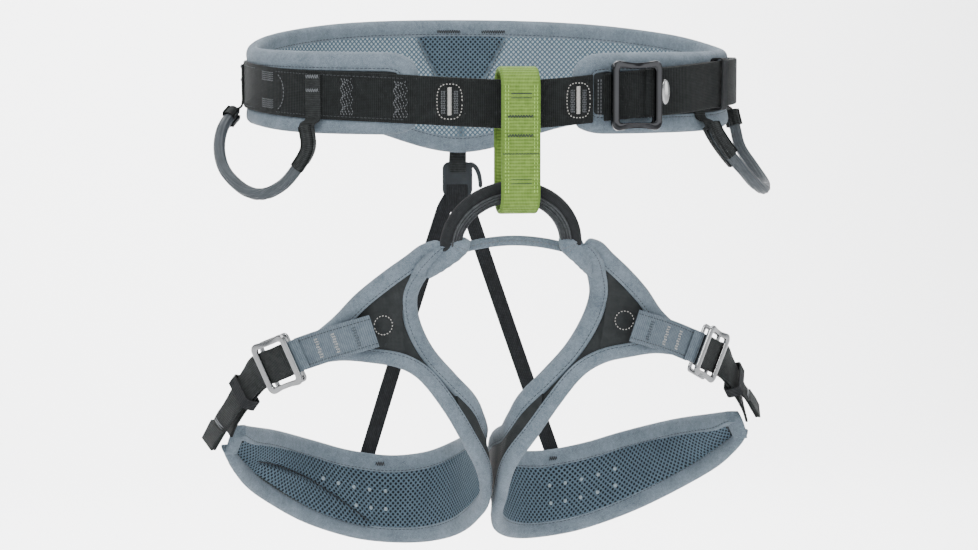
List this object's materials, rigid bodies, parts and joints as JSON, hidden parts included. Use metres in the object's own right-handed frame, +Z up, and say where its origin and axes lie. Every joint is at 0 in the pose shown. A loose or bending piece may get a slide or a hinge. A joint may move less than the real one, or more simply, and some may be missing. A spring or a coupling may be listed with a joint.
{
  "type": "tree climbing saddle",
  "caption": "Sit harness with padded waist belt, belay loop, padded leg loops, adjusting buckles, gear loops and rear elastic straps.",
  "frame": {"origin": "centre of the waist opening, level with the middle of the webbing at the back", "axes": "+X to the right seen from the front, -Y the front where the belay loop hangs, +Z up"},
  "size_m": [0.3504, 0.2292, 0.3402],
  "materials": {
    "foam": "closed-cell foam, hidden",
    "lining_mesh": "open 3-D mesh, dull",
    "outer_fabric": "dull tight weave",
    "edge_tape": "brushed tape, soft",
    "black_webbing": "ribbed webbing, slight sheen",
    "grey_webbing": "brushed webbing",
    "belay_webbing": "ribbed webbing, dull",
    "elastic": "knitted elastic, dull",
    "bridge_tubing": "smooth tight weave",
    "dark_buckle": "dark polished plating",
    "lug_metal": "satin",
    "silver_buckle": "satin bright",
    "gear_loop_plastic": "satin moulded",
    "hook_plastic": "satin moulded"
  },
  "bodies": {
    "belt": {"waist_foam": "foam", "waist_lining": "lining_mesh", "waist_cover": "outer_fabric", "waist_edge_tape": "edge_tape", "waist_webbing": "black_webbing", "tie_in_facing": "black_webbing", "waist_strap_tail": "black_webbing", "waist_buckle_base": "dark_buckle", "gear_tabs_left": "black_webbing", "gear_tabs_right": "black_webbing", "rear_tab": "black_webbing", "rear_hook": "hook_plastic", "rear_strap_left": "elastic", "rear_strap_right": "elastic"},
    "waist_buckle": {"waist_buckle_frame": "dark_buckle", "waist_buckle_lug": "lug_metal"},
    "waist_keeper": {"waist_keeper": "elastic"},
    "gear_loop_left": {"gear_loop_left": "gear_loop_plastic"},
    "gear_loop_right": {"gear_loop_right": "gear_loop_plastic"},
    "legs": {"bridge_webbing": "black_webbing", "bridge_sleeve": "bridge_tubing", "cross_strip": "edge_tape", "leg_foam_left": "foam", "leg_foam_right": "foam", "leg_lining_left": "lining_mesh", "leg_lining_right": "lining_mesh", "leg_cover_left": "outer_fabric", "leg_cover_right": "outer_fabric", "leg_panel_left": "outer_fabric", "leg_panel_right": "outer_fabric", "leg_upper_tape_left": "edge_tape", "leg_upper_tape_right": "edge_tape", "leg_lower_tape_left": "edge_tape", "leg_lower_tape_right": "edge_tape", "leg_outer_tape_left": "edge_tape", "leg_outer_tape_right": "edge_tape", "leg_sleeve_left": "grey_webbing", "leg_sleeve_right": "grey_webbing", "leg_strap_left": "black_webbing", "leg_strap_right": "black_webbing", "leg_strap_tail_left": "black_webbing", "leg_strap_tail_right": "black_webbing", "leg_buckle_base_left": "silver_buckle", "leg_buckle_base_right": "silver_buckle"},
    "belay_loop": {"belay_loop": "belay_webbing"},
    "leg_buckle_left": {"leg_buckle_frame_left": "silver_buckle"},
    "leg_buckle_right": {"leg_buckle_frame_right": "silver_buckle"},
    "leg_keeper_left": {"leg_keeper_left": "elastic"},
    "leg_keeper_right": {"leg_keeper_right": "elastic"}
  },
  "joints": [
    {"name": "legs_swing", "type": "hinge", "parent": "belt", "child": "legs", "pos_m": [0, -0.1053, -0.013], "axis": [1, 0, 0], "range_deg": [-10, 10], "stiffness_Nm_per_rad": 3, "springref_deg": 1.6, "deforming": ["rear_strap_left", "rear_strap_right"]},
    {"name": "belay_loop_turn", "type": "hinge", "parent": "legs", "child": "belay_loop", "pos_m": [-0.004, -0.1055, -0.045], "axis": [0, 0, 1], "range_deg": [-5, 5]},
    {"name": "gear_loop_left_swing", "type": "hinge", "parent": "belt", "child": "gear_loop_left", "pos_m": [-0.122, -0.07, -0.026], "axis": [0.4214, -0.903, -0.0843], "range_deg": [0, 40]},
    {"name": "gear_loop_right_swing", "type": "hinge", "parent": "belt", "child": "gear_loop_right", "pos_m": [0.122, -0.07, -0.026], "axis": [-0.4214, -0.903, -0.0843], "range_deg": [-25, 10], "stiffness_Nm_per_rad": 0.05, "springref_deg": 1.15},
    {"name": "waist_buckle_tilt", "type": "hinge", "parent": "belt", "child": "waist_buckle", "pos_m": [0.05286, -0.11164, -0.008], "axis": [0, 0, -1], "range_deg": [0, 25]},
    {"name": "leg_buckle_left_tilt", "type": "hinge", "parent": "legs", "child": "leg_buckle_left", "pos_m": [-0.13046, -0.05665, -0.16327], "axis": [-0.387, 0.111, 0.9154], "range_deg": [0, 25]},
    {"name": "leg_buckle_right_tilt", "type": "hinge", "parent": "legs", "child": "leg_buckle_right", "pos_m": [0.12246, -0.05665, -0.16327], "axis": [-0.387, -0.111, -0.9154], "range_deg": [0, 25]},
    {"name": "waist_keeper_slide", "type": "slide", "parent": "belt", "child": "waist_keeper", "axis": [0.6635, 0.7482, 0], "range_m": [-0.004, 0.004]},
    {"name": "leg_keeper_left_slide", "type": "slide", "parent": "legs", "child": "leg_keeper_left", "axis": [-0.4934, 0.4183, -0.7626], "range_m": [-0.0015, 0.0015]},
    {"name": "leg_keeper_right_slide", "type": "slide", "parent": "legs", "child": "leg_keeper_right", "axis": [0.4934, 0.4183, -0.7626], "range_m": [-0.0015, 0.0015]}
  ]
}
